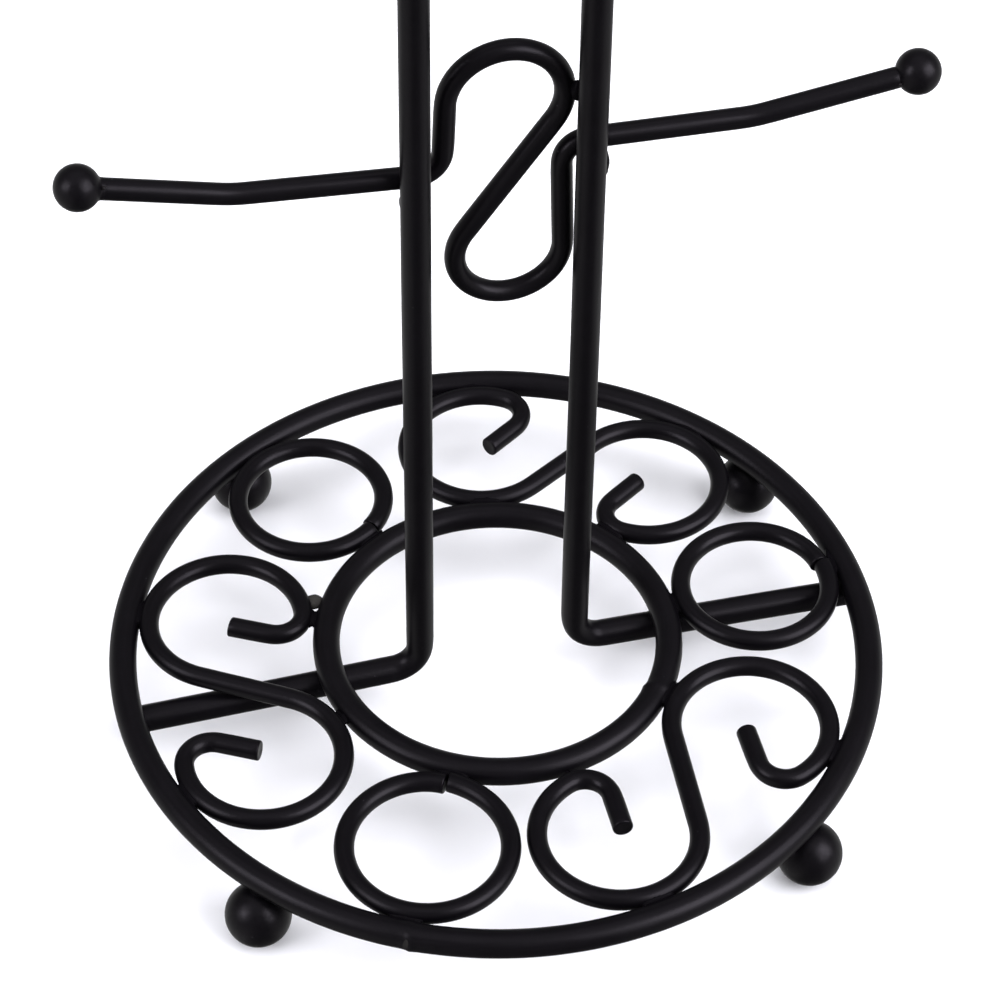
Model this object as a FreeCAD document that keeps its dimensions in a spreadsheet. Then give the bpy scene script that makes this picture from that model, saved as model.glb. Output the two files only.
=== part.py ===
import FreeCAD, Part
import Sketcher
import math
import os
import re

# A counter-top mug tree bent and welded from two sizes of round steel wire.
# Millimetres, +Z up. The origin is on the table, below the centre of the outer
# ring. +X runs along the arms to the right and +Y runs to the back.

DIMENSIONS = [
    ("heavy_wire", 6.35, "diameter of the rings' and uprights' wire"),
    ("light_wire", 4.65, "diameter of the small rings', scrolls' and hooks' wire"),
    ("weld_sink", 0.1, "how far two welded wires sink into each other"),
    ("foot_ball", 14.8, "diameter of a foot"),
    ("arm_ball", 9.75, "diameter of the ball on an arm's end"),
    ("foot_circle", 87.7, "radius of the circle that the feet stand on"),
    ("ring_height", 17.75, "height of the heavy rings' centreline above the table"),
    ("outer_ring", 86.1, "centreline radius of the outer ring"),
    ("inner_ring", 39.7, "centreline radius of the inner ring"),
    ("inner_ring_x", 0.6, "how far the inner ring sits off centre, along X"),
    ("inner_ring_y", 1.0, "how far the inner ring sits off centre, along Y"),
    ("slit", 0.45, "open gap where a small ring's ends meet"),
    ("front_ring_turn", 242.9, "direction from the centre to the front small ring"),
    ("right_ring_turn", 3.05, "direction to the right small ring"),
    ("left_ring_turn", 121.7, "direction to the small ring at the back left"),
    ("front_slit_turn", 64.0, "direction of the slit in the front small ring"),
    ("right_slit_turn", 10.0, "direction of the slit in the right small ring"),
    ("left_slit_turn", -46.0, "direction of the slit in the back left small ring"),
    ("curl", 17.95, "centreline radius of a scroll's curl"),
    ("curl_turn", 244.0, "angle through which a curl turns"),
    ("curl_hook", 6.1, "centreline radius of the tight bend inside a curl"),
    ("curl_hook_turn", 113.0, "angle of the tight bend"),
    ("curl_tail", 9.6, "straight end of a scroll's wire"),
    ("right_scroll_turn", -57.4, "direction from the centre to the right scroll"),
    ("left_scroll_turn", 181.5, "direction to the left scroll"),
    ("back_scroll_turn", 61.1, "direction to the back scroll"),
    ("right_scroll_bar", 25.3, "straight bar between the right scroll's curls"),
    ("left_scroll_bar", 22.1, "straight bar between the left scroll's curls"),
    ("back_scroll_bar", 20.8, "straight bar between the back scroll's curls"),
    ("uprights_gap", 36.7, "spacing of the two uprights, centre to centre"),
    ("uprights_x", 1.0, "middle of the uprights, along X"),
    ("uprights_y", 2.85, "plane of the uprights, along Y"),
    ("leg_bend", 6.6, "centreline radius of the bend from upright to leg"),
    ("leg_reach", 86.0, "how far the legs reach from the centre, to the left and right"),
    ("left_leg_skew", 2.2, "angle by which the left leg swings to the front"),
    ("splice", 20.0, "straight stub above the left bend"),
    ("arch_spring", 362.6, "height at which the uprights run into the arch"),
    ("lowest_tier", 151.9, "height of the middle of the lowest hook"),
    ("tier_step", 88.0, "height from one hook to the next"),
    ("hook_x", 2.3, "middle of a hook's diagonal, from the uprights' middle"),
    ("diagonal", 32.9, "straight diagonal across the middle of a hook"),
    ("diagonal_turn", 55.5, "slope of the diagonal"),
    ("top_loop", 12.4, "centreline radius of a hook's upper loop"),
    ("top_loop_turn", 212.3, "angle of the upper loop"),
    ("left_riser", 11.85, "straight run from the upper loop down to the left arm"),
    ("left_arm_bend", 5.9, "bend from the left riser to the left arm"),
    ("left_arm_turn", 91.2, "angle of that bend"),
    ("left_arm", 34.5, "inner straight run of the left arm"),
    ("left_tip", 24.6, "outer straight run of the left arm"),
    ("bottom_loop", 11.6, "centreline radius of a hook's lower loop"),
    ("bottom_loop_turn", 216.5, "angle of the lower loop"),
    ("right_riser", 21.4, "straight run from the lower loop up to the right arm"),
    ("right_arm_bend", 5.5, "bend from the right riser to the right arm"),
    ("right_arm_turn", 93.3, "angle of that bend"),
    ("right_arm", 32.3, "inner straight run of the right arm"),
    ("right_tip", 28.5, "outer straight run of the right arm"),
    ("upsweep", 30.0, "centreline radius of the gentle bend along an arm"),
    ("upsweep_turn", 10.4, "angle of the gentle bend"),
    ("ball_seat", 4.3, "distance from the end of an arm's wire to its ball's centre"),
]

# Directions from the centre, in degrees, of the four feet.
FEET = {
    "foot_front_left": -139.5,
    "foot_front_right": -50.2,
    "foot_back_right": 31.9,
    "foot_back_left": 122.4,
}
TIERS = ["lower", "middle", "upper"]
LEFT, RIGHT = 1, -1
VOLUME_TOLERANCE = 0.002

document = FreeCAD.newDocument("MugTree")
sheet = document.addObject("Spreadsheet::Sheet", "Sizes")
for row, (alias, size, meaning) in enumerate(DIMENSIONS, start=1):
    sheet.set(f"A{row}", meaning)
    sheet.set(f"B{row}", str(size))
    sheet.setAlias(f"B{row}", alias)
document.recompute()

subparts = []


def value(expression):
    """The number that an expression on the sheet's cells gives."""
    result = sheet.evalExpression(expression)
    return float(getattr(result, "Value", result))


def on_sheet(expression):
    """The same expression, as an object outside the sheet has to write it."""
    words = {row[0] for row in DIMENSIONS}
    return re.sub(r"[a-z_]+", lambda word: f"Sizes.{word[0]}" if word[0] in words else word[0], expression)


def bind(item, **expressions):
    """Bind properties to expressions; a double underscore stands for a dot."""
    for name, expression in expressions.items():
        item.setExpression(name.replace("__", "."), on_sheet(expression))


def place(item, x="0", y="0", z="0", turn="0"):
    """Put a sub-part at a point, turned about the vertical."""
    item.Placement.Rotation = FreeCAD.Rotation(FreeCAD.Vector(0, 0, 1), value(turn))
    bind(item, Placement__Base__x=x, Placement__Base__y=y, Placement__Base__z=z)
    if turn != "0":
        bind(item, Placement__Rotation__Angle=turn)


def add(kind, label):
    item = document.addObject(kind, label)
    item.Label = label
    subparts.append(item)
    return item


# ---------------------------------------------------------------- rings and balls


def ring(label, radius, wire, x, y, z, slit_turn=None):
    """A ring of round wire; its ends meet at a slit, or are welded into one."""
    item = add("Part::Torus", label)
    bind(item, Radius1=radius, Radius2=f"{wire} / 2")
    if slit_turn is None:
        place(item, x, y, z)
        return
    slit_angle = f"2 * asin( slit / 2 / ( {radius} ) ) / ( 1 deg )"
    bind(item, Angle3=f"360 - {slit_angle}")
    place(item, x, y, z, f"{slit_turn} + {slit_angle} / 2")


def small_ring(name):
    """A small ring that fills the gap between the two heavy rings."""
    turn = f"{name}_ring_turn"
    inner_edge = (
        f"( inner_ring + heavy_wire / 2"
        f" + inner_ring_x * cos( {turn} ) + inner_ring_y * sin( {turn} ) )"
    )
    outer_edge = "( outer_ring - heavy_wire / 2 )"
    radius = f"( {outer_edge} - {inner_edge} ) / 2 + weld_sink - light_wire / 2"
    middle = f"( {outer_edge} + {inner_edge} ) / 2"
    ring(
        f"{name}_ring",
        radius,
        "light_wire",
        f"{middle} * cos( {turn} )",
        f"{middle} * sin( {turn} )",
        LIGHT_HEIGHT,
        f"{name}_slit_turn",
    )


def ball(label, diameter, x, y, z):
    item = add("Part::Sphere", label)
    bind(item, Radius=f"{diameter} / 2")
    place(item, x, y, z)


# The small rings and scrolls lie flush with the tops of the heavy rings.
LIGHT_HEIGHT = "ring_height + heavy_wire / 2 - light_wire / 2"

ring("outer_ring_wire", "outer_ring", "heavy_wire", "0", "0", "ring_height")
ring("inner_ring_wire", "inner_ring", "heavy_wire", "inner_ring_x", "inner_ring_y", "ring_height")
for name in ["front", "right", "left"]:
    small_ring(name)
for label, direction in FEET.items():
    ball(
        label,
        "foot_ball",
        f"foot_circle * cos( {direction} )",
        f"foot_circle * sin( {direction} )",
        "foot_ball / 2",
    )


# ---------------------------------------------------------------- bent wires


def trace(x, y, heading, steps):
    """Follow runs and bends, and give each edge with its way in and out."""
    edges = []
    for step in steps:
        along = FreeCAD.Vector(math.cos(heading), math.sin(heading), 0)
        point = FreeCAD.Vector(x, y, 0)
        if step[0] == "run":
            end = point + along * value(step[1])
            edges.append({"line": (point, end), "step": step})
        else:
            radius, turn, side = value(step[1]), math.radians(value(step[2])), step[3]
            centre = point + FreeCAD.Vector(-along.y, along.x, 0) * side * radius
            start_angle = heading - side * math.pi / 2
            heading += side * turn
            end_angle = heading - side * math.pi / 2
            end = centre + radius * FreeCAD.Vector(math.cos(end_angle), math.sin(end_angle), 0)
            edges.append({"arc": (centre, radius, start_angle, end_angle, side), "step": step})
        x, y = end.x, end.y
    return edges, FreeCAD.Vector(x, y, 0), heading


def add_edge(sketch, edge, backwards):
    """Draw one traced edge and give its number, way in and way out."""
    if "line" in edge:
        first, last = edge["line"]
        if backwards:
            first, last = last, first
        number = sketch.addGeometry(Part.LineSegment(first, last), False)
        dimension(sketch, "Distance", number, edge["step"][1])
        return number, 1, 2
    centre, radius, start_angle, end_angle, side = edge["arc"]
    circle = Part.Circle(centre, FreeCAD.Vector(0, 0, 1), radius)
    low, high = sorted([start_angle, end_angle])
    number = sketch.addGeometry(Part.ArcOfCircle(circle, low, high), False)
    dimension(sketch, "Radius", number, edge["step"][1])
    dimension(sketch, "Angle", number, edge["step"][2], math.radians)
    anticlockwise = (side == LEFT) != backwards
    return (number, 1, 2) if anticlockwise else (number, 2, 1)


def dimension(sketch, kind, number, expression, unit=float):
    """Hold a line's length, or an arc's radius or angle, at an expression."""
    index = sketch.addConstraint(Sketcher.Constraint(kind, number, unit(value(expression))))
    sketch.setExpression(f"Constraints[{index}]", on_sheet(expression))


def bent_wire(body, name, wire, start, ahead, behind=(), swing=None):
    """Add a pipe of round wire to a body.

    start is (x, y, heading) as expressions; ahead and behind are the runs and
    bends that lead away from it, forwards and backwards. swing turns the
    path's plane about its own upright axis at a given x. It gives the wire's
    length, and the place and heading of both its ends.
    """
    plane = "XZ_Plane" if body.Label.endswith(("frame", "hook")) else "XY_Plane"
    path = body.newObject("Sketcher::SketchObject", f"{name}_path")
    path.AttachmentSupport = [
        (item, "") for item in body.Origin.OriginFeatures if item.Role == plane
    ]
    path.MapMode = "FlatFace"
    if swing is not None:
        turn, x = swing
        path.AttachmentOffset.Rotation = FreeCAD.Rotation(FreeCAD.Vector(0, 1, 0), value(turn))
        bind(path, AttachmentOffset__Base__x=x, AttachmentOffset__Rotation__Angle=turn)

    x, y = value(start[0]), value(start[1])
    heading = math.radians(value(start[2]))
    ahead_edges, ahead_end, ahead_heading = trace(x, y, heading, ahead)
    behind_edges, behind_end, behind_heading = trace(x, y, heading + math.pi, behind)

    drawn = [add_edge(path, edge, True) for edge in reversed(behind_edges)]
    drawn += [add_edge(path, edge, False) for edge in ahead_edges]
    for (number, way_in, way_out), (following, next_in, next_out) in zip(drawn, drawn[1:]):
        path.addConstraint(Sketcher.Constraint("Tangent", number, way_out, following, next_in))

    anchor, anchor_start = drawn[len(behind_edges)][:2]
    origin, origin_point = -1, 1
    for kind, expression in [("DistanceX", start[0]), ("DistanceY", start[1])]:
        constraint = Sketcher.Constraint(
            kind, origin, origin_point, anchor, anchor_start, value(expression)
        )
        index = path.addConstraint(constraint)
        path.setExpression(f"Constraints[{index}]", on_sheet(expression))
    dimension(path, "Angle", anchor, start[2], math.radians)

    section = body.newObject("Sketcher::SketchObject", f"{name}_section")
    section.AttachmentSupport = [(path, "Edge1")]
    section.MapMode = "NormalToEdge"
    section.MapPathParameter = 0.0 if drawn[0][1] == 1 else 1.0
    circle = Part.Circle(FreeCAD.Vector(0, 0, 0), FreeCAD.Vector(0, 0, 1), value(wire) / 2)
    number = section.addGeometry(circle, False)
    section.addConstraint(Sketcher.Constraint("Coincident", number, 3, origin, origin_point))
    dimension(section, "Diameter", number, wire)
    document.recompute()

    pipe = body.newObject("PartDesign::AdditivePipe", name)
    pipe.Profile = section
    pipe.Spine = (path, [f"Edge{index + 1}" for index in range(len(drawn))])
    document.recompute()

    length = sum(edge.Length for edge in path.Shape.Edges)
    return length, [(behind_end, behind_heading), (ahead_end, ahead_heading)]


def check_volume(body, wire, length):
    """A bent wire's volume is its section times its length."""
    expected = math.pi * (value(wire) / 2) ** 2 * length
    error = abs(body.Shape.Volume / expected - 1)
    if error > VOLUME_TOLERANCE:
        raise ValueError(f"{body.Label}: volume differs from its wire's by {error:.2%}")


# An S-scroll: a straight bar, and at each end a curl with a tight hook inside it.
def scroll(name):
    body = add("PartDesign::Body", f"{name}_scroll")
    bar, direction = f"{name}_scroll_bar", f"{name}_scroll_turn"
    curl = [
        ("bend", "curl", "curl_turn", RIGHT),
        ("bend", "curl_hook", "curl_hook_turn", RIGHT),
        ("run", "curl_tail"),
    ]
    start = ("0", f"-{bar} / 2", "90")
    ahead = [("run", bar)] + curl
    length = bent_wire(body, "scroll_wire", "light_wire", start, ahead, curl)[0]
    check_volume(body, "light_wire", length)

    # Both curls touch both heavy rings, so their centres lie midway between them.
    curl_circle = "( ( outer_ring + inner_ring ) / 2 )"
    middle = f"sqrt( {curl_circle} ^ 2 - curl ^ 2 - ( {bar} / 2 ) ^ 2 )"
    place(
        body,
        f"{middle} * cos( {direction} )",
        f"{middle} * sin( {direction} )",
        LIGHT_HEIGHT,
        f"{direction} + 90 - atan( {bar} / 2 / curl ) / ( 1 deg )",
    )


for name in ["right", "left", "back"]:
    scroll(name)


# The uprights are one hairpin of heavy wire. Its legs run out below the rings,
# and the left leg swings a little to the front.
def upright_frame():
    body = add("PartDesign::Body", "upright_frame")
    leg_height = "ring_height - heavy_wire + weld_sink"
    right_x, left_x = "uprights_gap / 2", "-uprights_gap / 2"
    upright = f"arch_spring - ( {leg_height} ) - leg_bend"
    right_length = bent_wire(
        body,
        "hairpin",
        "heavy_wire",
        (right_x, f"{leg_height} + leg_bend", "90"),
        [
            ("run", upright),
            ("bend", "uprights_gap / 2", "180", LEFT),
            ("run", f"{upright} - splice"),
        ],
        [
            ("bend", "leg_bend", "90", LEFT),
            ("run", "leg_reach - uprights_x - uprights_gap / 2 - leg_bend"),
        ],
    )[0]
    left_length = bent_wire(
        body,
        "left_foot",
        "heavy_wire",
        ("0", f"{leg_height} + leg_bend + splice", "-90"),
        [
            ("run", "splice"),
            ("bend", "leg_bend", "90", RIGHT),
            ("run", "leg_reach + uprights_x - uprights_gap / 2 - leg_bend"),
        ],
        swing=("left_leg_skew", left_x),
    )[0]
    check_volume(body, "heavy_wire", right_length + left_length)
    place(body, "uprights_x", "uprights_y")


upright_frame()


# A hook: an S between the uprights, whose two ends pass behind them and become
# the left and right arms. It is welded to the backs of the uprights.
def hook(tier):
    body = add("PartDesign::Body", f"{TIERS[tier]}_hook")
    start = (
        "-diagonal / 2 * cos( diagonal_turn )",
        "-diagonal / 2 * sin( diagonal_turn )",
        "diagonal_turn",
    )
    ahead = [
        ("run", "diagonal"),
        ("bend", "top_loop", "top_loop_turn", LEFT),
        ("run", "left_riser"),
        ("bend", "left_arm_bend", "left_arm_turn", RIGHT),
        ("run", "left_arm"),
        ("bend", "upsweep", "upsweep_turn", RIGHT),
        ("run", "left_tip"),
    ]
    behind = [
        ("bend", "bottom_loop", "bottom_loop_turn", LEFT),
        ("run", "right_riser"),
        ("bend", "right_arm_bend", "right_arm_turn", RIGHT),
        ("run", "right_arm"),
        ("bend", "upsweep", "upsweep_turn", LEFT),
        ("run", "right_tip"),
    ]
    length, ends = bent_wire(body, "hook_wire", "light_wire", start, ahead, behind)
    check_volume(body, "light_wire", length)

    x = "uprights_x + hook_x"
    y = "uprights_y + ( heavy_wire + light_wire ) / 2 - weld_sink"
    z = f"lowest_tier + {tier} * tier_step"
    place(body, x, y, z)
    for side, (end, heading) in zip(["right", "left"], ends):
        ball_x = end.x + value("ball_seat") * math.cos(heading)
        ball_z = end.y + value("ball_seat") * math.sin(heading)
        ball(
            f"{TIERS[tier]}_{side}_ball",
            "arm_ball",
            f"{x} + {ball_x:.4f}",
            y,
            f"{z} + {ball_z:.4f}",
        )


for tier in range(len(TIERS)):
    hook(tier)


# ---------------------------------------------------------------- checks and files

document.recompute()
for item in document.Objects:
    if "Invalid" in item.State or "Error" in item.State:
        raise RuntimeError(f"{item.Label} failed: {item.State}")
for item in subparts:
    if item.Shape.isNull() or not item.Shape.isValid():
        raise RuntimeError(f"{item.Label} has no valid shape")

os.makedirs("parts", exist_ok=True)
for item in subparts:
    item.Shape.exportStep(f"parts/{item.Label}.step")
    print(f"{item.Label}: {item.Shape.Volume:.0f} mm3")
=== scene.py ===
import itertools
import math
import random

import bpy
import numpy as np
from mathutils import Matrix, Vector, noise


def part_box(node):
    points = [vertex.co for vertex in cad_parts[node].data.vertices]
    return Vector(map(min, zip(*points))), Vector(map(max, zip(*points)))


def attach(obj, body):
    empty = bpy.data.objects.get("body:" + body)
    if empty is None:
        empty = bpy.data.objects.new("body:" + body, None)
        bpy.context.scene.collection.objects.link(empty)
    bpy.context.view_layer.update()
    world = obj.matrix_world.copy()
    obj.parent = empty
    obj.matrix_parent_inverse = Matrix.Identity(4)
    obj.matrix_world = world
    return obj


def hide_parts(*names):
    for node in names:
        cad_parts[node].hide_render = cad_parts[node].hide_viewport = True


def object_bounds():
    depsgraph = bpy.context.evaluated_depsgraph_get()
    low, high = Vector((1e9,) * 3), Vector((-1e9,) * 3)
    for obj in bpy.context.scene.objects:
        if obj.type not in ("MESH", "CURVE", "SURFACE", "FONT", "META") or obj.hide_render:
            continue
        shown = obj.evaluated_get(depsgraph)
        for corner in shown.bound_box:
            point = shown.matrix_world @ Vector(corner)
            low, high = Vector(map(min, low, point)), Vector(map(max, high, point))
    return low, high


# The finished look of a black mug tree that is bent and welded from round wire.
# Every wire is a swept skin with drawn-thin bends, cut ends and seams, the balls
# are lathed with their weld necks, and weld metal fills the crevices where the
# wires touch. Lengths are named in millimetres and built in metres.

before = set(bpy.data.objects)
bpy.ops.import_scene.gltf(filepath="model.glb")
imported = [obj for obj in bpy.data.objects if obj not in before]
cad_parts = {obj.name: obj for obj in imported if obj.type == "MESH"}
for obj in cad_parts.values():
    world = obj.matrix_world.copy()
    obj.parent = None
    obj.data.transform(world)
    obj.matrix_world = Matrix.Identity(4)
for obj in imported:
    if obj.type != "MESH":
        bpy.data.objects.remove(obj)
cad_low, cad_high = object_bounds()

MM = 0.001
LEFT, RIGHT = 1, -1

# ---------------------------------------------------------------- sizes, in millimetres and degrees

SAMPLE, LARGEST_SAMPLE_TURN = 0.8, 5.0
LIGHT_SIDES, HEAVY_SIDES = 28, 36
ARM_BALL_SIDES, ARM_BALL_ROWS, NECK_ROWS = 48, 40, 6
FOOT_SIDES, COLLAR_SIDES = 56, 32

BEND_THINNING = 0.3
CUT_ROUNDING, CUT_TILT, CUT_DISH = 0.35, 4.0, 0.12
WANDER, WANDER_LENGTH, WANDER_STRIDE = 0.09, 45.0, 3.7

SCROLL_BARS = {"right_scroll": 25.3, "left_scroll": 22.1, "back_scroll": 20.8}
CURL, CURL_TURN = 17.95, 244.0
CURL_HOOK, CURL_HOOK_TURN = 6.1, 113.0
CURL_TAIL = 9.6

# Where each ring's ends meet, as a direction from its centre. A small ring's ends spring apart.
SMALL_RING_SLITS = {"front_ring": 64.0, "right_ring": 10.0, "left_ring": -46.0}
SLIT, SPRING_OUT, SPRING_UP = 0.45, 0.3, 0.12
HEAVY_RING_SEAMS = {"outer_ring_wire": -115.5, "inner_ring_wire": -37.0}

LEG_BEND = 6.6
LEFT_LEG_SKEW = 2.2

DIAGONAL, DIAGONAL_TURN = 32.9, 55.5
TOP_LOOP, TOP_LOOP_TURN = 12.4, 212.3
BOTTOM_LOOP, BOTTOM_LOOP_TURN = 11.6, 216.5
LEFT_RISER, LEFT_ARM_BEND, LEFT_ARM_TURN = 11.85, 5.9, 91.2
RIGHT_RISER, RIGHT_ARM_BEND, RIGHT_ARM_TURN = 21.4, 5.5, 93.3
LEFT_ARM, LEFT_TIP = 34.5, 24.6
RIGHT_ARM, RIGHT_TIP = 32.3, 28.5
UPSWEEP, UPSWEEP_TURN = 30.0, 10.4

TIERS = ["lower", "middle", "upper"]
FEET = ["foot_front_left", "foot_front_right", "foot_back_right", "foot_back_left"]

# Each kind of weld by how deep it fills the crevice, how far it reaches along the wires, and how
# near two wires have to come to be welded.
SMALL_RING_WELD = (0.6, 4.0, 0.3)
SCROLL_WELD = (1.0, 4.0, 1.0)
LEG_WELD = (1.3, 3.5, 0.3)
CROSSING_WELD = (1.0, 3.0, 1.0)

# How bare weld metal looks, from fully coated to bare.
COATED, FLASHED, THINLY_COATED, BARE = 0.0, 0.15, 0.35, 1.0

# Each bead by its offset from the upright's middle at the arm's level, and its half sizes.
CROSSING_BEADS = {
    "right": ((2.9, 2.2, -4.5), (1.5, 1.7, 3.9)),
    "left": ((-2.0, 2.6, -4.2), (0.9, 1.2, 2.2)),
}

# The other beads by their half sizes, and how far they are set off the wires.
LOOP_BEAD, LOOP_BEAD_RISE = (1.6, 1.4, 2.4), 1.8
NUGGET, NUGGET_SAMPLES = (2.4, 2.0, 1.2), 9
SEAM_BEAD, SEAM_BEAD_OUT, SEAM_BEAD_RISE = (1.2, 1.2, 1.6), 2.2, 0.4
NECK_FLASH, FLASH_SPREAD = (0.5, 0.5, 0.5), 50
BEAD_SEEDS = (0, 50)

# How far an arm ball's neck of weld metal stands past the wire's side, and its fillet onto the
# ball. Past the fillet it runs on straight, and then tapers to a share of the wire's radius.
NECKS = {"left": (0.03, 0.9), "right": (-0.15, 0.3)}
NECK_RUN, NECK_TAPER, NECK_SUNK = 0.2, 1.4, 0.93

# The radius of a foot's worn flat, and how deep it is ground.
WORN_FLAT, WORN_DEPTH = 0.9, 0.01

# The collar between a foot and the ring above it: heights above their contact, and radii.
FOOT_COLLAR = [(0.9, 0), (0.9, 2.3), (0.3, 1.9), (-0.3, 2.0), (-0.9, 2.6), (-0.9, 0)]


# ---------------------------------------------------------------- what the frame says


def centre_of(node):
    low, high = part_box(node)
    return np.array((low + high) / 2)


def size_of(node):
    low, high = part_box(node)
    return np.array(high - low)


# The radii of the two sizes of wire.
HEAVY = size_of("outer_ring_wire")[2] / 2
LIGHT = size_of("front_ring")[2] / 2


# ---------------------------------------------------------------- wires


class Wire:
    """The centreline of a round wire, in metres.

    along runs with the wire, across points left of it in the plane of its
    bends, and rise is that plane's normal. swell is added to the radius.
    """

    def __init__(self, points, rise, radius, closed=False):
        self.points, self.radius, self.closed = points, radius, closed
        following = np.roll(points, -1, axis=0)
        previous = np.roll(points, 1, axis=0)
        if not closed:
            following[-1], previous[0] = points[-1], points[0]
        self.along = unit(following - previous)
        self.across = unit(np.cross(rise, self.along))
        self.rise = np.cross(self.along, self.across)
        self.swell = np.zeros(len(points))
        steps = np.linalg.norm(np.diff(points, axis=0), axis=1)
        self.distance = np.concatenate([[0], np.cumsum(steps)])
        self.curvature = self.measure_curvature()

    def measure_curvature(self):
        """One over the bend radius at each point, positive to the left, eased at its ends."""
        spacing = self.distance[-1] / (len(self.points) - 1)
        turn = np.gradient(self.along, axis=0) / spacing
        curvature = np.einsum("ij,ij->i", turn, self.across)
        window = 5
        ease = np.ones(window) / window
        return np.convolve(np.pad(curvature, window // 2, mode="edge"), ease, mode="valid")

    def place_like(self, node):
        """Move the wire so that its box is centred on the node's."""
        reach = self.radius * np.sqrt(1 - self.along**2)
        low, high = (self.points - reach).min(axis=0), (self.points + reach).max(axis=0)
        self.points = self.points + centre_of(node) - (low + high) / 2
        return self


def unit(vectors):
    return vectors / np.linalg.norm(vectors, axis=-1, keepdims=True)


def trace(heading, steps):
    """Points along runs and bends in a plane, in metres, starting at its origin."""
    heading = math.radians(heading)
    x, y = 0.0, 0.0
    points = [(x, y)]
    for step in steps:
        if step[0] == "run":
            count = max(2, math.ceil(step[1] / SAMPLE))
            for share in np.arange(1, count + 1) / count:
                distance = step[1] * MM * share
                points.append((x + math.cos(heading) * distance, y + math.sin(heading) * distance))
        else:
            radius, turn, side = step[1], math.radians(step[2]), step[3]
            centre_x = x - math.sin(heading) * side * radius * MM
            centre_y = y + math.cos(heading) * side * radius * MM
            count = max(2, math.ceil(max(radius * turn / SAMPLE, step[2] / LARGEST_SAMPLE_TURN)))
            for share in np.arange(1, count + 1) / count:
                angle = heading - side * math.pi / 2 + side * turn * share
                points.append((
                    centre_x + radius * MM * math.cos(angle),
                    centre_y + radius * MM * math.sin(angle),
                ))
            heading += side * turn
        x, y = points[-1]
    return np.array(points)


def flat_on(plane, points, turn=0.0):
    """Lay planar points in the level plane or the upright plane of the arms."""
    cosine, sine = math.cos(turn), math.sin(turn)
    x = points[:, 0] * cosine - points[:, 1] * sine
    y = points[:, 0] * sine + points[:, 1] * cosine
    nothing = np.zeros(len(points))
    if plane == "level":
        return np.stack([x, y, nothing], axis=1), np.array([0.0, 0.0, 1.0])
    return np.stack([x, nothing, y], axis=1), np.array([0.0, -1.0, 0.0])


def wander(wire, seed):
    """Bend a wire a little off its drawn line, as hand-loaded wire is."""
    sideways_row, upwards_row = 0.0, 9.0
    for index, distance in enumerate(wire.distance):
        place = distance / (WANDER_LENGTH * MM)
        sideways = noise.noise(Vector((place, seed, sideways_row)))
        upwards = noise.noise(Vector((place, seed, upwards_row)))
        offset = wire.across[index] * sideways + wire.rise[index] * upwards
        wire.points[index] += offset * WANDER * MM


def heavy_ring(node):
    """A closed ring whose ends are butt welded and dressed at a seam."""
    radius = size_of(node)[0] / 2 - HEAVY
    count = math.ceil(math.tau * radius / (SAMPLE * MM))
    seam = math.radians(HEAVY_RING_SEAMS[node])
    angles = seam + math.tau * (np.arange(count) + 0.5) / count
    circle = np.stack([np.cos(angles), np.sin(angles), np.zeros(count)], axis=1)
    wire = Wire(circle * radius, np.array([0.0, 0.0, 1.0]), HEAVY, closed=True)
    wire.points = wire.points + centre_of(node)

    # The two ends miss each other by a hair, under a collar of weld metal.
    miss, settle, collar, collar_width = 0.3 * MM, 5.0 * MM, 0.16 * MM, 1.2 * MM
    around = np.arange(count) + 0.5
    from_seam = np.minimum(around, count - around) * math.tau * radius / count
    side = np.where(around < count / 2, 1.0, -1.0)
    offset = side * miss / 2 * np.exp(-from_seam / settle)
    wire.points = wire.points + circle * offset[:, None]
    wire.swell = collar * np.exp(-((from_seam / collar_width) ** 2))
    return wire


def small_ring(node):
    """A ring that is bent shut but not welded shut: its slit stays open."""
    radius = size_of(node)[1] / 2 - LIGHT
    half_slit = math.degrees(math.asin(SLIT * MM / 2 / radius))
    turn = 360 - 2 * half_slit
    points = trace(90.0, [("bend", radius / MM, turn, LEFT)])
    points[:, 0] += radius
    laid, rise = flat_on("level", points, math.radians(SMALL_RING_SLITS[node] + half_slit))

    # One end springs outwards and up a little, and the other as much inwards and down.
    sharpness = 15
    spring = np.linspace(-1, 1, len(laid))[:, None] ** sharpness
    laid = laid + unit(laid) * spring * SPRING_OUT * MM + rise * spring * SPRING_UP * MM
    wire = Wire(laid, rise, LIGHT)
    wire.points = wire.points + centre_of(node)
    return wire


def scroll(node):
    """An S: a straight bar with a curl at each end and a tight hook inside it."""
    bar = SCROLL_BARS[node]
    points = trace(90.0 - CURL_TURN - CURL_HOOK_TURN, [
        ("run", CURL_TAIL),
        ("bend", CURL_HOOK, CURL_HOOK_TURN, LEFT),
        ("bend", CURL, CURL_TURN, LEFT),
        ("run", bar),
        ("bend", CURL, CURL_TURN, RIGHT),
        ("bend", CURL_HOOK, CURL_HOOK_TURN, RIGHT),
        ("run", CURL_TAIL),
    ])
    centre = centre_of(node)
    direction = math.atan2(centre[1], centre[0])
    turn = direction + math.pi / 2 - math.atan(bar / 2 / CURL)
    laid, rise = flat_on("level", points, turn)
    return Wire(laid, rise, LIGHT).place_like(node)


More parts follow.
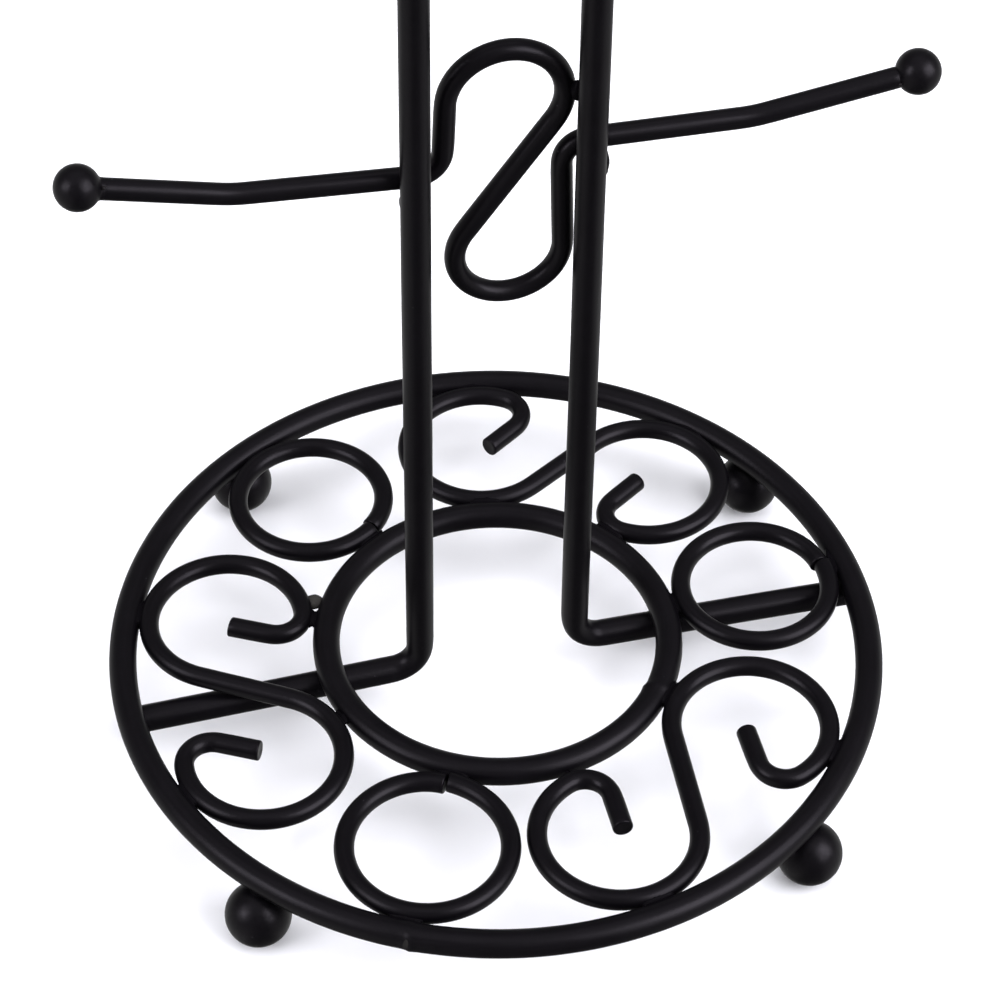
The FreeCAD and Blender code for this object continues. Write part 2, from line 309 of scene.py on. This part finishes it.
def upright_hairpin():
    """Legs, uprights and arch: one hairpin whose left leg swings to the front."""
    low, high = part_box("upright_frame")
    arch = [v.co.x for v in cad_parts["upright_frame"].data.vertices if v.co.z > high.z / 2]
    middle, half_gap = (max(arch) + min(arch)) / 2, (max(arch) - min(arch)) / 2 - HEAVY
    upright = (high.z - low.z - 2 * HEAVY - half_gap) / MM - LEG_BEND
    right_leg = (high.x - middle - half_gap) / MM - LEG_BEND
    swung = math.radians(LEFT_LEG_SKEW)
    left_reach = (middle - half_gap - low.x - HEAVY * math.sin(swung)) / math.cos(swung)
    left_leg = left_reach / MM - LEG_BEND
    points = trace(180.0, [
        ("run", right_leg),
        ("bend", LEG_BEND, 90.0, RIGHT),
        ("run", upright),
        ("bend", half_gap / MM, 180.0, LEFT),
        ("run", upright),
        ("bend", LEG_BEND, 90.0, RIGHT),
        ("run", left_leg),
    ])
    points[:, 0] += high.x
    points[:, 1] += low.z + HEAVY
    laid, rise = flat_on("upright", points)
    laid[:, 1] += high.y - HEAVY

    past_upright = np.minimum(laid[:, 0] - (middle - half_gap), 0)
    laid[:, 0] += past_upright * (math.cos(swung) - 1)
    laid[:, 1] += past_upright * math.sin(swung)
    return Wire(laid, rise, HEAVY)


def hook(node):
    """An S between the uprights whose ends run out behind them as the two arms."""
    heading = DIAGONAL_TURN + BOTTOM_LOOP_TURN - RIGHT_ARM_TURN + UPSWEEP_TURN
    points = trace(heading, [
        ("run", RIGHT_TIP),
        ("bend", UPSWEEP, UPSWEEP_TURN, RIGHT),
        ("run", RIGHT_ARM),
        ("bend", RIGHT_ARM_BEND, RIGHT_ARM_TURN, LEFT),
        ("run", RIGHT_RISER),
        ("bend", BOTTOM_LOOP, BOTTOM_LOOP_TURN, RIGHT),
        ("run", DIAGONAL),
        ("bend", TOP_LOOP, TOP_LOOP_TURN, LEFT),
        ("run", LEFT_RISER),
        ("bend", LEFT_ARM_BEND, LEFT_ARM_TURN, RIGHT),
        ("run", LEFT_ARM),
        ("bend", UPSWEEP, UPSWEEP_TURN, RIGHT),
        ("run", LEFT_TIP),
    ])
    laid, rise = flat_on("upright", points)
    return Wire(laid, rise, LIGHT).place_like(node)


# ---------------------------------------------------------------- skins


class Skin:
    """Points and faces of one piece, with what its coat needs to know at each point."""

    def __init__(self):
        self.points, self.faces, self.straight, self.weld = [], [], [], []

    def loft(self, rings, tips=None, straight=None, weld=COATED):
        """Join rings of points; tips close the two ends, and without them the loft is a loop.

        straight holds the rings' places on the wire as if it were straight, for its streaks.
        """
        base, count, sides = len(self.points), len(rings), len(rings[0])
        self.points += [tuple(point) for ring in rings for point in ring]
        places = straight if straight is not None else rings
        self.straight += [tuple(place) for ring in places for place in ring]
        self.weld += [weld] * (count * sides)
        last = count if tips is None else count - 1
        for ring in range(last):
            here, there = base + ring * sides, base + (ring + 1) % count * sides
            for side in range(sides):
                beside = (side + 1) % sides
                self.faces.append((here + side, here + beside, there + beside, there + side))
        if tips is not None:
            self.close(base, sides, tips[0], weld, forwards=False)
            self.close(base + (count - 1) * sides, sides, tips[1], weld, forwards=True)

    def close(self, start, sides, tip, weld, forwards):
        centre = len(self.points)
        self.points.append(tuple(tip))
        self.straight.append(self.straight[start])
        self.weld.append(weld)
        for side in range(sides):
            edge = (start + side, start + (side + 1) % sides)
            self.faces.append((*edge, centre) if forwards else (*reversed(edge), centre))


def section_ring(wire, index, sides, shrink=0.0, slide=None):
    """The wire's section at one sample; the outside of a tight bend is drawn thin."""
    angles = math.tau * np.arange(sides) / sides
    radius = wire.radius + wire.swell[index] - shrink
    curvature = wire.curvature[index]
    outside = (1 - np.sign(curvature) * np.cos(angles)) / 2
    thinning = 1 - BEND_THINNING * abs(curvature) * wire.radius * outside
    across = np.outer(radius * np.cos(angles) * thinning, wire.across[index])
    rise = np.outer(radius * np.sin(angles), wire.rise[index])
    ring = wire.points[index] + across + rise
    if slide is not None:
        ring = ring + np.outer(slide(np.cos(angles), np.sin(angles)), wire.along[index])
    flat = np.stack([
        radius * np.cos(angles),
        radius * np.sin(angles),
        np.full(sides, wire.distance[index]),
    ], axis=1)
    return ring, flat


def cut_end(wire, index, outward, sides, chance):
    """Rings from the wire's side over a rounded edge to a slightly tilted, dished cut face."""
    rounding = CUT_ROUNDING * MM
    tilt = math.tan(math.radians(chance.uniform(-CUT_TILT, CUT_TILT))) * wire.radius
    lean = math.tan(math.radians(chance.uniform(-CUT_TILT, CUT_TILT))) * wire.radius
    rings, flats = [], []
    for angle in np.radians([0, 30, 60, 90]):
        shrink = rounding * (1 - math.cos(angle))
        reach = rounding * (math.sin(angle) - 1)
        ring, flat = section_ring(
            wire, index, sides, shrink,
            lambda cosine, sine: outward * reach + tilt * cosine + lean * sine,
        )
        rings.append(ring)
        flats.append(flat)
    dish = outward * CUT_DISH * MM
    for share_of_radius, share_of_dish in [(0.6, 0.5), (0.25, 0.9)]:
        ring, flat = section_ring(
            wire, index, sides, wire.radius * (1 - share_of_radius),
            lambda cosine, sine: share_of_radius * (tilt * cosine + lean * sine) - dish * share_of_dish,
        )
        rings.append(ring)
        flats.append(flat)
    tip = wire.points[index] - wire.along[index] * dish
    return rings, flats, tip


def add_wire(skin, wire, sides, seed):
    """Sweep a wire's round section along its centreline."""
    chance = random.Random(seed)
    if wire.closed:
        swept = [section_ring(wire, index, sides) for index in range(len(wire.points))]
        skin.loft([ring for ring, flat in swept], straight=[flat for ring, flat in swept])
        return
    first, last, covered = 0, len(wire.points) - 1, 2
    start_rings, start_flats, start_tip = cut_end(wire, first, -1, sides, chance)
    end_rings, end_flats, end_tip = cut_end(wire, last, 1, sides, chance)
    middle = [section_ring(wire, index, sides) for index in range(covered, last + 1 - covered)]
    rings = start_rings[::-1] + [ring for ring, flat in middle] + end_rings
    flats = start_flats[::-1] + [flat for ring, flat in middle] + end_flats
    skin.loft(rings, (start_tip, end_tip), flats)


# ---------------------------------------------------------------- weld metal


def touches(a, b, tolerance):
    """Pairs of samples where wire a comes closest to wire b and nearly meets it."""
    apart = np.linalg.norm(a.points[:, None] - b.points[None], axis=2)
    nearest = apart.min(axis=1)
    limit = a.radius + b.radius + tolerance * MM
    own_stretch = 9 * MM
    found = []
    for index in np.argsort(nearest):
        if nearest[index] > limit:
            break
        if all(abs(a.distance[index] - a.distance[other]) > own_stretch for other, beside in found):
            found.append((index, apart[index].argmin()))
    return found


def surface_drop(wire, index, normal, direction, reach):
    """How far a wire's surface has fallen from its crest, at a distance along the tangent plane."""
    lengthwise = float(np.dot(direction, wire.along[index]))
    sideways = reach * math.sqrt(max(0.0, 1 - lengthwise**2))
    drop = wire.radius - math.sqrt(max(0.0, wire.radius**2 - sideways**2))
    bending = wire.curvature[index] * float(np.dot(wire.across[index], normal))
    return drop - bending * (reach * lengthwise) ** 2 / 2


def fill_crevice(skin, a, index_a, b, index_b, depth, reach, seed):
    """Weld metal between two touching wires: a spool whose rims run out on both surfaces."""
    chance = random.Random(seed)
    spokes, rows, search = 28, 7, 40
    unevenness, lumps, waist_width, embed, inside = 0.16, 1.3, 0.62, 0.04 * MM, 0.4
    between = b.points[index_b] - a.points[index_a]
    normal = unit(between)
    crest_a = a.points[index_a] + normal * a.radius
    crest_b = b.points[index_b] - normal * b.radius
    apart = float(np.dot(crest_b - crest_a, normal))
    forward = unit(a.along[index_a] - normal * np.dot(a.along[index_a], normal))
    sideways = np.cross(normal, forward)
    phase = chance.uniform(0, 10)

    outline = []
    for angle in math.tau * np.arange(spokes) / spokes:
        direction = forward * math.cos(angle) + sideways * math.sin(angle)
        spot = Vector((math.cos(angle) * lumps, math.sin(angle) * lumps, phase))
        ragged = 1 + unevenness * noise.noise(spot)
        emerges = 0.0
        for far in reach * MM * np.arange(1, search + 1) / search:
            drop_a = surface_drop(a, index_a, normal, direction, far)
            drop_b = surface_drop(b, index_b, -normal, direction, far)
            gap = apart + drop_a + drop_b
            if gap <= 0:
                emerges = far
            if gap >= depth * MM * ragged:
                break
        outline.append((direction, far, emerges, drop_a, drop_b))

    rings = []
    for share in np.arange(rows) / (rows - 1):
        ring = []
        for direction, far, emerges, drop_a, drop_b in outline:
            rim_a = crest_a - normal * (drop_a + embed) + direction * far
            rim_b = crest_b + normal * (drop_b + embed) + direction * far
            waist = (crest_a + crest_b) / 2 + direction * (emerges + (far - emerges) * waist_width)
            ring.append((1 - share) ** 2 * rim_a + 2 * share * (1 - share) * waist + share**2 * rim_b)
        rings.append(np.array(ring))
    inside_a = a.points[index_a] + normal * a.radius * inside
    inside_b = b.points[index_b] - normal * b.radius * inside
    skin.loft(rings, (inside_a, inside_b))


def add_bead(skin, centre, half_sizes, seed, weld, turn=0.0):
    """A lump of weld metal, rounded and uneven."""
    rows, sides, unevenness, lumps = 12, 20, 0.13, 1.6
    cosine, sine = math.cos(turn), math.sin(turn)
    rings = []
    for polar in math.pi * np.arange(1, rows) / rows:
        ring = []
        for angle in math.tau * np.arange(sides) / sides:
            level = math.sin(polar)
            ball = Vector((level * math.cos(angle), level * math.sin(angle), math.cos(polar)))
            swollen = 1 + unevenness * noise.noise(ball * lumps + Vector((seed, 0, 0)))
            x, y, z = (ball[axis] * half_sizes[axis] * MM * swollen for axis in range(3))
            ring.append(centre + np.array([x * cosine - y * sine, x * sine + y * cosine, z]))
        rings.append(np.array(ring))
    top = centre + np.array([0, 0, half_sizes[2] * MM])
    bottom = centre - np.array([0, 0, half_sizes[2] * MM])
    skin.loft(rings, (top, bottom), weld=weld)


# ---------------------------------------------------------------- balls


def lathe(skin, centre, axis, profile, sides):
    """Turn a profile of (height, radius) about an axis; its ends are closed on the axis."""
    axis = unit(axis)
    nearly_along = 0.9
    helper = [0.0, 1.0, 0.0] if abs(axis[1]) < nearly_along else [1.0, 0.0, 0.0]
    first = unit(np.cross(helper, axis))
    second = np.cross(axis, first)
    angles = math.tau * np.arange(sides) / sides
    turned = np.outer(np.cos(angles), first) + np.outer(np.sin(angles), second)
    rings = [centre + axis * height + turned * radius for height, radius in profile[1:-1]]
    tips = (centre + axis * profile[0][0], centre + axis * profile[-1][0])
    skin.loft(rings, tips)


def arc(centre, radius, start, end, count):
    """Points (height, radius) of a profile along a circle's arc; angles from the axis."""
    return [
        (centre[0] + radius * math.cos(angle), centre[1] + radius * math.sin(angle))
        for angle in np.radians(np.linspace(start, end, count))
    ]


def arm_ball(skin, node, arm_end, side, chance):
    """A ball on an arm's end, its neck of weld metal, and a lump of flash on the neck."""
    centre = centre_of(node)
    radius = size_of(node)[2] / 2
    neck, fillet = LIGHT + NECKS[side][0] * MM, NECKS[side][1] * MM
    neck_height = -math.sqrt((radius + fillet) ** 2 - (neck + fillet) ** 2)
    seat = math.degrees(math.atan2(neck + fillet, neck_height))
    facing = math.degrees(math.atan2(-(neck + fillet), -neck_height))
    sphere = arc((0, 0), radius, 0, seat, ARM_BALL_ROWS)
    concave = arc((neck_height, neck + fillet), fillet, facing, -90, NECK_ROWS)
    taper = [
        (neck_height - NECK_RUN * MM, neck),
        (neck_height - NECK_TAPER * MM, LIGHT * NECK_SUNK),
        (neck_height - NECK_TAPER * MM, 0),
    ]
    axis = unit(centre - arm_end)
    lathe(skin, centre, axis, sphere + concave[1:] + taper, ARM_BALL_SIDES)

    forwards = np.array([0.0, -1.0, 0.0])
    upwards = unit(np.cross(forwards, axis)) * math.copysign(1.0, axis[0])
    spot = math.radians(chance.uniform(-FLASH_SPREAD, FLASH_SPREAD))
    outwards = forwards * math.cos(spot) + upwards * math.sin(spot)
    flash = centre + axis * neck_height + outwards * neck
    add_bead(skin, flash, NECK_FLASH, chance.uniform(*BEAD_SEEDS), FLASHED)


def foot_ball(skin, node):
    """A foot: a ball with a small worn flat where it stands."""
    radius = size_of(node)[2] / 2
    flat, rounded = WORN_FLAT * MM, 0.8
    worn = math.degrees(math.asin(flat / radius))
    sphere = arc((0, 0), radius, 0, 180 - worn, FOOT_SIDES)
    bottom = sphere[-1][0] - WORN_DEPTH * MM
    profile = sphere + [(bottom, flat * rounded), (bottom, 0)]
    lathe(skin, centre_of(node), np.array([0.0, 0.0, 1.0]), profile, FOOT_SIDES)


# ---------------------------------------------------------------- the coat


DARK_TONE, PALE_TONE = (0.0012, 0.0010, 0.0014), (0.0027, 0.0023, 0.0031)
NIB_TONE, WELD_TONE = (0.014, 0.013, 0.015), (0.034, 0.032, 0.029)
SHEEN_TINT = (1.0, 0.93, 1.0, 1)
# The coat on the welds shines at a third of the rest: painted shade, which darkens the welds in the
# crevices between the wires, where shade falls.
COAT_SHINE, PAINTED_SHADE_WELD_SHINE = 0.12, 0.04
FLOOR_TONES = (0.86, 0.86, 0.86), (0.9, 0.9, 0.9)


class Nodes:
    """A short way to write the nodes of a material or of the world."""

    def __init__(self, tree):
        self.tree = tree

    def add(self, kind, inputs=None, **settings):
        node = self.tree.nodes.new(kind)
        for key, setting in settings.items():
            setattr(node, key, setting)
        for key, source in (inputs or {}).items():
            if isinstance(source, bpy.types.NodeSocket):
                self.tree.links.new(source, node.inputs[key])
            else:
                node.inputs[key].default_value = source
        return node.outputs

    def link(self, source, socket):
        self.tree.links.new(source, socket)

    def mix(self, factor, a, b):
        """Mix two colours, each a socket or three numbers."""
        node = self.tree.nodes.new("ShaderNodeMix")
        node.data_type = "RGBA"
        self.tree.links.new(factor, node.inputs["Factor"])
        for socket, colour in [(node.inputs[6], a), (node.inputs[7], b)]:
            if isinstance(colour, bpy.types.NodeSocket):
                self.tree.links.new(colour, socket)
            else:
                socket.default_value = (*colour, 1)
        return node.outputs[2]

    def ramp(self, value, low, high, at_low, at_high):
        """Go smoothly from at_low to at_high while the value goes from low to high."""
        return self.add("ShaderNodeMapRange", {
            "Value": value, "From Min": low, "From Max": high, "To Min": at_low, "To Max": at_high,
        }, interpolation_type="SMOOTHSTEP")["Result"]


def powder_coat(name, roughness, peel, shine=COAT_SHINE):
    """Satin black powder coat: soft mottling, streaks along the wire, orange peel and dust nibs."""
    material = bpy.data.materials.new(name)
    material.use_nodes = True
    nodes = Nodes(material.node_tree)
    shader = nodes.tree.nodes["Principled BSDF"]
    place = nodes.add("ShaderNodeTexCoord")["Object"]
    straight = nodes.add("ShaderNodeAttribute", attribute_name="straight")["Vector"]
    weld = nodes.add("ShaderNodeAttribute", attribute_name="weld")["Fac"]

    # The scales are in features per metre.
    mottle = nodes.add("ShaderNodeTexNoise", {"Vector": place, "Scale": 160.0, "Detail": 4.0})["Fac"]
    stretched = nodes.add("ShaderNodeMapping", {"Vector": straight, "Scale": (1.0, 1.0, 0.06)})["Vector"]
    streaks = nodes.add("ShaderNodeTexNoise", {"Vector": stretched, "Scale": 900.0, "Detail": 3.0})["Fac"]
    grain = nodes.add("ShaderNodeTexNoise", {"Vector": place, "Scale": 1500.0, "Detail": 3.0})["Fac"]
    cells = nodes.add("ShaderNodeTexVoronoi", {"Vector": place, "Scale": 190.0})["Distance"]
    nibs = nodes.ramp(cells, 0.02, 0.045, 1.0, 0.0)

    tone = nodes.mix(mottle, DARK_TONE, PALE_TONE)
    tone = nodes.mix(nibs, tone, NIB_TONE)
    tone = nodes.mix(weld, tone, WELD_TONE)
    nodes.link(tone, shader.inputs["Base Color"])

    satin = nodes.ramp(streaks, 0.3, 0.7, roughness - 0.05, roughness + 0.06)
    duller = nodes.add("ShaderNodeMath", {0: weld, 1: 0.14, 2: satin}, operation="MULTIPLY_ADD")["Value"]
    nodes.link(duller, shader.inputs["Roughness"])

    peeled = nodes.add("ShaderNodeBump", {
        "Height": grain, "Strength": peel, "Distance": 0.00006,
    })["Normal"]
    bumped = nodes.add("ShaderNodeBump", {
        "Height": nibs, "Strength": 0.35, "Distance": 0.00005, "Normal": peeled,
    })["Normal"]
    nodes.link(bumped, shader.inputs["Normal"])
    shader.inputs["Specular IOR Level"].default_value = shine
    shader.inputs["Specular Tint"].default_value = SHEEN_TINT
    return material


def matte_floor():
    material = bpy.data.materials.new("matte_floor")
    material.use_nodes = True
    nodes = Nodes(material.node_tree)
    shader = nodes.tree.nodes["Principled BSDF"]
    place = nodes.add("ShaderNodeTexCoord")["Object"]
    clouds = nodes.add("ShaderNodeTexNoise", {"Vector": place, "Scale": 3.0, "Detail": 2.0})["Fac"]
    nodes.link(nodes.mix(clouds, *FLOOR_TONES), shader.inputs["Base Color"])
    shader.inputs["Roughness"].default_value = 0.95
    shader.inputs["Specular IOR Level"].default_value = 0.1
    return material


# ---------------------------------------------------------------- the pieces


def make_piece(name, skin, material, *nodes):
    """One finished piece, which replaces the CAD nodes that it stands for, if any."""
    mesh = bpy.data.meshes.new(name)
    mesh.from_pydata(skin.points, [], skin.faces)
    mesh.polygons.foreach_set("use_smooth", [True] * len(mesh.polygons))
    straight = mesh.attributes.new("straight", "FLOAT_VECTOR", "POINT")
    straight.data.foreach_set("vector", np.array(skin.straight, np.float32).ravel())
    weld = mesh.attributes.new("weld", "FLOAT", "POINT")
    weld.data.foreach_set("value", np.array(skin.weld, np.float32))
    mesh.materials.append(material)
    mesh.update()
    piece = bpy.data.objects.new(name, mesh)
    bpy.context.scene.collection.objects.link(piece)
    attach(piece, "root")
    if nodes:
        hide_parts(*nodes)


def make_wire_piece(node, wire, material, seed):
    skin = Skin()
    add_wire(skin, wire, HEAVY_SIDES if wire.radius == HEAVY else LIGHT_SIDES, seed)
    make_piece(f"{node}_coated", skin, material, node)


heavy_coat = powder_coat("powder_coat_on_heavy_wire", 0.37, 0.3)
light_coat = powder_coat("powder_coat_on_light_wire", 0.34, 0.25)
ball_coat = powder_coat("powder_coat_on_balls", 0.36, 0.2)
# The welds get a rougher copy of the coat that shines less: painted shade on the welds between the wires.
weld_coat_with_painted_shade = powder_coat("powder_coat_on_welds_with_painted_shade", 0.5, 0.5, PAINTED_SHADE_WELD_SHINE)

wires = {}
for node in HEAVY_RING_SEAMS:
    wires[node] = heavy_ring(node)
for node in SMALL_RING_SLITS:
    wires[node] = small_ring(node)
for node in SCROLL_BARS:
    wires[node] = scroll(node)
wires["upright_frame"] = upright_hairpin()
for tier in TIERS:
    wires[f"{tier}_hook"] = hook(f"{tier}_hook")

for seed, (node, wire) in enumerate(wires.items()):
    if not wire.closed:
        wander(wire, seed * WANDER_STRIDE)
    make_wire_piece(node, wire, heavy_coat if wire.radius == HEAVY else light_coat, seed)

for node in FEET:
    skin = Skin()
    foot_ball(skin, node)
    make_piece(f"{node}_coated", skin, ball_coat, node)

chance = random.Random(11)
for tier in TIERS:
    arms = wires[f"{tier}_hook"]
    for side, end in [("right", 0), ("left", -1)]:
        skin = Skin()
        arm_ball(skin, f"{tier}_{side}_ball", arms.points[end], side, chance)
        make_piece(f"{tier}_{side}_ball_coated", skin, ball_coat, f"{tier}_{side}_ball")


# ---------------------------------------------------------------- the welds


def weld_wires(skin, nodes, others, depth, reach, tolerance):
    """Weld metal at all the places where a node's wire touches one of the others."""
    for a, b in itertools.product(nodes, others):
        for seed, (index_a, index_b) in enumerate(touches(wires[a], wires[b], tolerance)):
            fill_crevice(skin, wires[a], index_a, wires[b], index_b, depth, reach, seed)


def weld_foot(skin, node):
    """A collar of weld metal between a foot and the outer ring above it."""
    ring = wires["outer_ring_wire"]
    centre = centre_of(node)
    apart = np.linalg.norm(ring.points - centre, axis=1)
    nearest = ring.points[apart.argmin()]
    contact = size_of(node)[2] / 2
    profile = [(contact + height * MM, radius * MM) for height, radius in FOOT_COLLAR]
    lathe(skin, centre, nearest - centre, profile, COLLAR_SIDES)


def beads_under_arms(skin, hook, upright, chance):
    """The runs of weld metal on the backs of the uprights, just under the arms."""
    for index, post_index in touches(hook, upright, CROSSING_WELD[-1]):
        level, post = hook.points[index], upright.points[post_index]
        offset, half_sizes = CROSSING_BEADS["right" if post[0] > 0 else "left"]
        centre = np.array([post[0], post[1], level[2]]) + np.array(offset) * MM
        add_bead(skin, centre, half_sizes, chance.uniform(*BEAD_SEEDS), COATED)


def bead_beside_loop(skin, hook, upright, chance):
    """The bead that joins a hook's upper loop to the right upright."""
    loop_level = hook.points[:, 2].max() - TOP_LOOP * MM - LIGHT
    index = np.where(hook.points[:, 2] > loop_level, hook.points[:, 0], -1).argmax()
    point = hook.points[index]
    post = upright.points[np.linalg.norm(upright.points - point, axis=1).argmin()]
    towards = unit(post - point)
    centre = (point + towards * hook.radius + post - towards * upright.radius) / 2
    centre[2] += LOOP_BEAD_RISE * MM
    add_bead(skin, centre, LOOP_BEAD, chance.uniform(*BEAD_SEEDS), COATED)


def weld_nugget(skin, wire, ring):
    """A lump of bare weld metal past the wire's first weld, with a pinhole left between them."""
    index = min(touches(wire, ring, SCROLL_WELD[-1]))[0] + NUGGET_SAMPLES
    point = wire.points[index]
    beside = ring.points[np.linalg.norm(ring.points - point, axis=1).argmin()]
    towards = unit(beside - point)
    centre = (point + towards * wire.radius + beside - towards * ring.radius) / 2
    add_bead(skin, centre, NUGGET, seed=3.0, weld=BARE)


def seam_bead_on_edge(skin, node):
    """A patch of thinly coated weld metal on the outer side of a ring's seam."""
    seam = math.radians(HEAVY_RING_SEAMS[node])
    outward = np.array([math.cos(seam), math.sin(seam), 0.0])
    place = centre_of(node) + outward * (size_of(node)[0] / 2 - HEAVY + SEAM_BEAD_OUT * MM)
    place[2] += SEAM_BEAD_RISE * MM
    add_bead(skin, place, SEAM_BEAD, seed=7.0, weld=THINLY_COATED, turn=seam)


small_ring_welds = Skin()
weld_wires(small_ring_welds, SMALL_RING_SLITS, HEAVY_RING_SEAMS, *SMALL_RING_WELD)
make_piece("small_ring_welds", small_ring_welds, weld_coat_with_painted_shade)

scroll_welds = Skin()
weld_wires(scroll_welds, SCROLL_BARS, HEAVY_RING_SEAMS, *SCROLL_WELD)
weld_nugget(scroll_welds, wires["left_scroll"], wires["inner_ring_wire"])
make_piece("scroll_welds", scroll_welds, weld_coat_with_painted_shade)

leg_welds = Skin()
weld_wires(leg_welds, ["upright_frame"], HEAVY_RING_SEAMS, *LEG_WELD)
make_piece("leg_welds", leg_welds, weld_coat_with_painted_shade)

hook_welds = Skin()
weld_wires(hook_welds, [f"{tier}_hook" for tier in TIERS], ["upright_frame"], *CROSSING_WELD)
for seed, tier in enumerate(TIERS):
    chance = random.Random(seed)
    beads_under_arms(hook_welds, wires[f"{tier}_hook"], wires["upright_frame"], chance)
    bead_beside_loop(hook_welds, wires[f"{tier}_hook"], wires["upright_frame"], chance)
make_piece("hook_welds", hook_welds, weld_coat_with_painted_shade)

seam_weld = Skin()
seam_bead_on_edge(seam_weld, "outer_ring_wire")
make_piece("seam_weld", seam_weld, weld_coat_with_painted_shade)

foot_welds = Skin()
for node in FEET:
    weld_foot(foot_welds, node)
make_piece("foot_welds", foot_welds, weld_coat_with_painted_shade)


# ---------------------------------------------------------------- studio

VIEW_AZIMUTH, VIEW_ELEVATION, VIEW_ROLL = -13.72, 46.09, 0.79
VIEW_DISTANCE, VIEW_RIGHT, VIEW_UP = 791.9, 0.88, 32.94
LENS, SENSOR = 123.19, 36.0

# Softboxes by azimuth and elevation in degrees, distance, width and height in metres, and watts.
SOFTBOXES = [
    ("left_softbox", -74, 28, 1.6, 0.8, 1.0, 18),
    ("right_softbox", 50, 30, 1.6, 1.3, 1.3, 42),
    ("top_softbox", 0, 90, 2.0, 2.4, 2.4, 12),
]
FILL = ("fill", 0, 90, 2.1, 3.0, 3.0, 52)
SOFTBOX_COLOUR = (0.93, 0.93, 1.0)
SKY, GROUND_IN_FRONT, GROUND_AROUND = 0.28, 0.15, 0.75
SIDE_FADE, BACK_FADE, HORIZON_FADE = (0.2, 0.7), (0.0, 0.6), (-0.1, 0.1)
FLOOR_RADIUS, FLOOR_SIDES = 4.0, 64


def view_axes(azimuth, elevation, roll=0.0):
    """Right, up and back of a camera at an angle, with azimuth 0 looking along +Y."""
    azimuth, elevation, roll = map(math.radians, (azimuth, elevation, roll))
    right = Vector((math.cos(azimuth), math.sin(azimuth), 0))
    back = Vector((
        math.sin(azimuth) * math.cos(elevation),
        -math.cos(azimuth) * math.cos(elevation),
        math.sin(elevation),
    ))
    up = back.cross(right)
    rolled_right = right * math.cos(roll) + up * math.sin(roll)
    rolled_up = up * math.cos(roll) - right * math.sin(roll)
    return rolled_right, rolled_up, back


def aim(item, location, axes):
    """Place a camera or light so that its own axes are right, up and back."""
    item.location = location
    item.rotation_euler = Matrix(axes).transposed().to_euler()


def add_camera():
    axes = view_axes(VIEW_AZIMUTH, VIEW_ELEVATION, VIEW_ROLL)
    right, up, back = axes
    data = bpy.data.cameras.new("camera")
    data.sensor_width, data.lens = SENSOR, LENS
    data.clip_start, data.clip_end = 0.05, 20
    camera = bpy.data.objects.new("camera", data)
    bpy.context.scene.collection.objects.link(camera)
    target = Vector(centre_of("outer_ring_wire"))
    offset = right * VIEW_RIGHT + up * VIEW_UP + back * VIEW_DISTANCE
    aim(camera, target + offset * MM, axes)
    bpy.context.scene.camera = camera


def add_softbox(name, azimuth, elevation, distance, width, height, power):
    axes = view_axes(azimuth, elevation)
    data = bpy.data.lights.new(name, "AREA")
    data.shape, data.size, data.size_y, data.energy = "RECTANGLE", width, height, power
    data.color = SOFTBOX_COLOUR
    light = bpy.data.objects.new(name, data)
    bpy.context.scene.collection.objects.link(light)
    middle = Vector((cad_low + cad_high) / 2)
    aim(light, middle + axes[2] * distance, axes)
    return light


def add_floor():
    """A white floor that the black wires don't mirror: they mirror the world below the horizon."""
    angles = math.tau * np.arange(FLOOR_SIDES) / FLOOR_SIDES
    circle = np.stack([np.cos(angles), np.sin(angles), np.zeros(FLOOR_SIDES)], axis=1)
    mesh = bpy.data.meshes.new("floor")
    mesh.from_pydata([tuple(point) for point in circle * FLOOR_RADIUS], [], [tuple(range(FLOOR_SIDES))])
    mesh.materials.append(matte_floor())
    floor = bpy.data.objects.new("floor", mesh)
    bpy.context.scene.collection.objects.link(floor)
    floor.visible_glossy = False


def light_world():
    """Even light from above. What the wires mirror of the ground is dark in front, pale elsewhere."""
    world = bpy.data.worlds.new("studio")
    world.use_nodes = True
    nodes = Nodes(world.node_tree)
    direction = nodes.add("ShaderNodeTexCoord")["Generated"]
    axes = nodes.add("ShaderNodeSeparateXYZ", {"Vector": direction})
    sideways = nodes.add("ShaderNodeMath", {0: axes["X"]}, operation="ABSOLUTE")["Value"]
    beside = nodes.ramp(sideways, *SIDE_FADE, 0.0, 1.0)
    behind = nodes.ramp(axes["Y"], *BACK_FADE, 0.0, 1.0)
    around = nodes.add("ShaderNodeMath", {0: beside, 1: behind}, operation="MAXIMUM")["Value"]
    ground = nodes.ramp(around, 0.0, 1.0, GROUND_IN_FRONT, GROUND_AROUND)
    lighting = nodes.ramp(axes["Z"], *HORIZON_FADE, ground, SKY)
    seen = nodes.add("ShaderNodeLightPath")["Is Camera Ray"]
    strength = nodes.ramp(seen, 0.0, 1.0, lighting, 1.0)
    nodes.link(strength, nodes.tree.nodes["Background"].inputs["Strength"])
    nodes.tree.nodes["Background"].inputs["Color"].default_value = (1, 1, 1, 1)
    bpy.context.scene.world = world


def light_studio():
    light_world()
    for softbox in SOFTBOXES:
        add_softbox(*softbox)
    add_softbox(*FILL).visible_glossy = False
    bpy.context.scene.view_settings.view_transform = "Standard"


add_camera()
add_floor()
light_studio()
